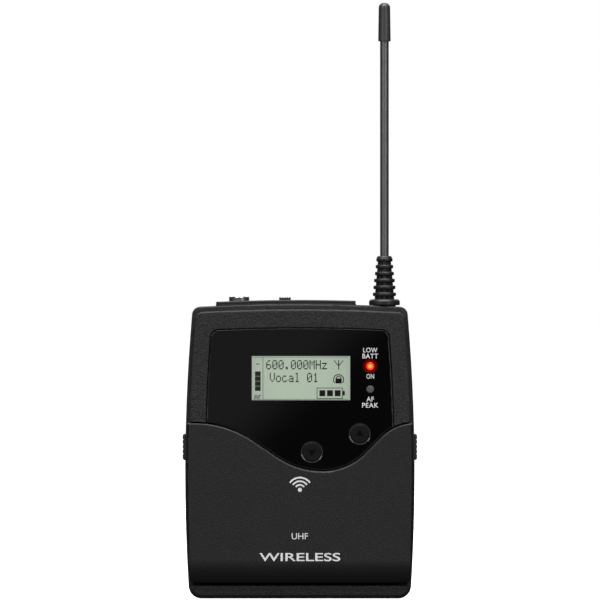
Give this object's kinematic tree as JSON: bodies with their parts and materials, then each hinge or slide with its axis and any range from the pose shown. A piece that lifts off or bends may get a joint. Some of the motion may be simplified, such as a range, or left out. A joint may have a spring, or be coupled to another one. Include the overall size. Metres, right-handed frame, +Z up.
{
  "type": "wireless bodypack transmitter",
  "caption": "Pocket-size wireless microphone transmitter with a display, flip-down battery door, whip antenna, locking audio jack and belt clip.",
  "frame": {"origin": "middle of the underside: centred on the width over the catches and on the depth over the clip", "axes": "+Z up along the antenna, -Y out of the display and door, +X to the right seen from the front"},
  "size_m": [0.0642, 0.024, 0.1636],
  "materials": {
    "housing_paint": "coarse grained matt black",
    "door_plastic": "fine matt black",
    "panel_gloss": "high gloss black",
    "tape": "black foam tape",
    "clear_window": "clear",
    "lcd_glass": "grey-green display glass",
    "black_plastic": "fine matt black",
    "light_guide": "milky",
    "flex": "amber film",
    "board": "green solder mask",
    "lamp_red": "lit red lens",
    "lamp_grey": "unlit smoked lens",
    "lamp_chip": "milky",
    "steel": "nickel plated",
    "black_steel": "satin black",
    "polished_metal": "polished",
    "antenna_rubber": "matt black",
    "battery_wrap": "printed sleeve",
    "gold": "gold plated",
    "label": "blank dark label"
  },
  "bodies": {
    "housing": {"antenna_boot": "antenna_rubber", "antenna_cap": "antenna_rubber", "antenna_contact": "steel", "antenna_ferrule": "steel", "antenna_nut": "steel", "antenna_rod": "antenna_rubber", "audio_jack": "black_plastic", "battery_lower": "battery_wrap", "battery_plates": "steel", "battery_springs": "steel", "battery_tray": "black_plastic", "battery_upper": "battery_wrap", "board_chips": "black_plastic", "board_screws": "steel", "charge_contact_left": "gold", "charge_contact_right": "gold", "display_panel": "panel_gloss", "front_frame": "housing_paint", "hinge_pin": "steel", "housing_screws": "black_steel", "jack_bush": "polished_metal", "jack_contacts": "steel", "lcd_frame": "black_plastic", "lcd_glass": "lcd_glass", "lcd_ribbon": "flex", "lcd_window": "clear_window", "led_chips": "lamp_chip", "led_lens_peak": "lamp_grey", "led_lens_power": "lamp_red", "light_guide": "light_guide", "main_board": "board", "mute_switch": "black_plastic", "panel_adhesive": "tape", "rating_label": "label", "rear_housing": "housing_paint", "rf_shield": "steel", "tact_switches": "black_plastic", "top_plate": "black_plastic"},
    "door": {"battery_door": "door_plastic", "catch_spring_left": "steel", "catch_spring_right": "steel"},
    "catch_left": {"catch_left": "black_plastic"},
    "catch_right": {"catch_right": "black_plastic"},
    "up_key": {"button_up": "black_plastic"},
    "down_key": {"button_down": "black_plastic"},
    "power_key": {"button_power": "black_plastic"},
    "set_key": {"button_set": "black_plastic"},
    "mute_slider": {"mute_knob": "black_plastic"},
    "clip": {"belt_clip": "black_steel"}
  },
  "joints": [
    {"name": "door_hinge", "type": "hinge", "parent": "housing", "child": "door", "pos_m": [0, -0.00855, 0.00545], "axis": [1, 0, 0], "range_deg": [0, 90]},
    {"name": "catch_left_slide", "type": "slide", "parent": "door", "child": "catch_left", "axis": [1, 0, 0], "range_m": [0, 0.0009], "stiffness_N_per_m": 800, "springref_m": -0.0012, "deforming": ["catch_spring_left"]},
    {"name": "catch_right_slide", "type": "slide", "parent": "door", "child": "catch_right", "axis": [-1, 0, 0], "range_m": [0, 0.0009], "stiffness_N_per_m": 800, "springref_m": -0.0012, "deforming": ["catch_spring_right"]},
    {"name": "up_press", "type": "slide", "parent": "housing", "child": "up_key", "axis": [0, 1, 0], "range_m": [0, 0.0004], "stiffness_N_per_m": 1500, "springref_m": -0.0004},
    {"name": "down_press", "type": "slide", "parent": "housing", "child": "down_key", "axis": [0, 1, 0], "range_m": [0, 0.0004], "stiffness_N_per_m": 1500, "springref_m": -0.0004},
    {"name": "power_press", "type": "slide", "parent": "housing", "child": "power_key", "axis": [0, 1, 0], "range_m": [0, 0.0004], "stiffness_N_per_m": 1500, "springref_m": -0.0004},
    {"name": "set_press", "type": "slide", "parent": "housing", "child": "set_key", "axis": [0, 1, 0], "range_m": [0, 0.0004], "stiffness_N_per_m": 1500, "springref_m": -0.0004},
    {"name": "mute_slide", "type": "slide", "parent": "housing", "child": "mute_slider", "axis": [1, 0, 0], "range_m": [0, 0.002]},
    {"name": "clip_swing", "type": "hinge", "parent": "housing", "child": "clip", "pos_m": [0, 0.0044, 0.046], "axis": [1, 0, 0], "range_deg": [0, 15], "stiffness_Nm_per_rad": 0.5, "springref_deg": -20.05}
  ]
}
